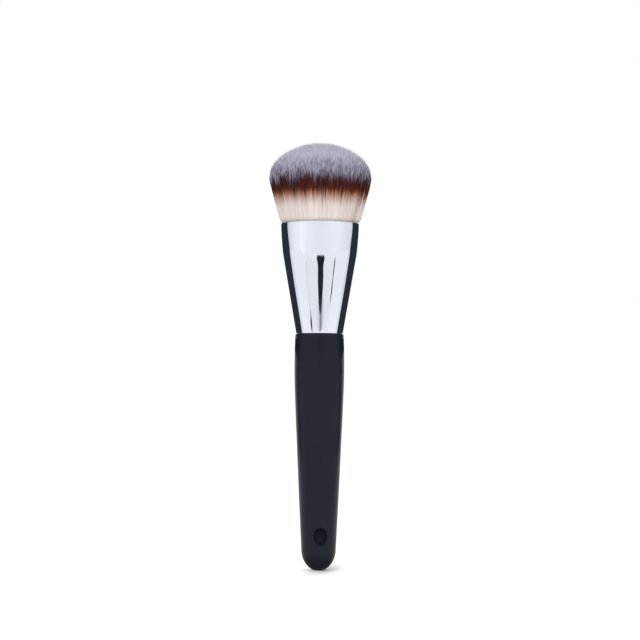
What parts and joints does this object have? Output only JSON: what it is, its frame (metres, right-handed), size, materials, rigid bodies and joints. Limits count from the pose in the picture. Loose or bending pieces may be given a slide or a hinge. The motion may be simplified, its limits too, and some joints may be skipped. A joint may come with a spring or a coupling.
{
  "type": "angled foundation brush",
  "caption": "Slant-topped foundation brush: flared tricolour synthetic bristles in a chromed oval-mouthed ferrule on a tapering satin black handle.",
  "frame": {"origin": "middle of the small flat at the end of the handle, on the brush's axis", "axes": "+Z along the brush from the handle's end to the bristles; -Y towards the low side of the slanted bristle head, which is the side the picture shows; +X to the right seen from there"},
  "size_m": [0.0399, 0.0281, 0.166],
  "materials": {
    "handle_lacquer": "satin blue-black lacquer on turned wood",
    "ferrule_chrome": "mirror-bright plating",
    "glue": "cured amber glue",
    "resin": "cured root resin",
    "tie_thread": "wound thread",
    "bristles": "fine synthetic filaments, cream at the root, dark red-brown in the middle, pale lavender grey at the tip"
  },
  "bodies": {
    "root": {"handle": "handle_lacquer", "tenon_glue_lower": "glue", "tenon_glue_upper": "glue", "ferrule": "ferrule_chrome", "root_resin": "resin", "bundle_tie": "tie_thread", "bristles_1": "bristles", "bristles_2": "bristles", "bristles_3": "bristles", "bristles_4": "bristles", "bristles_5": "bristles"}
  },
  "joints": []
}
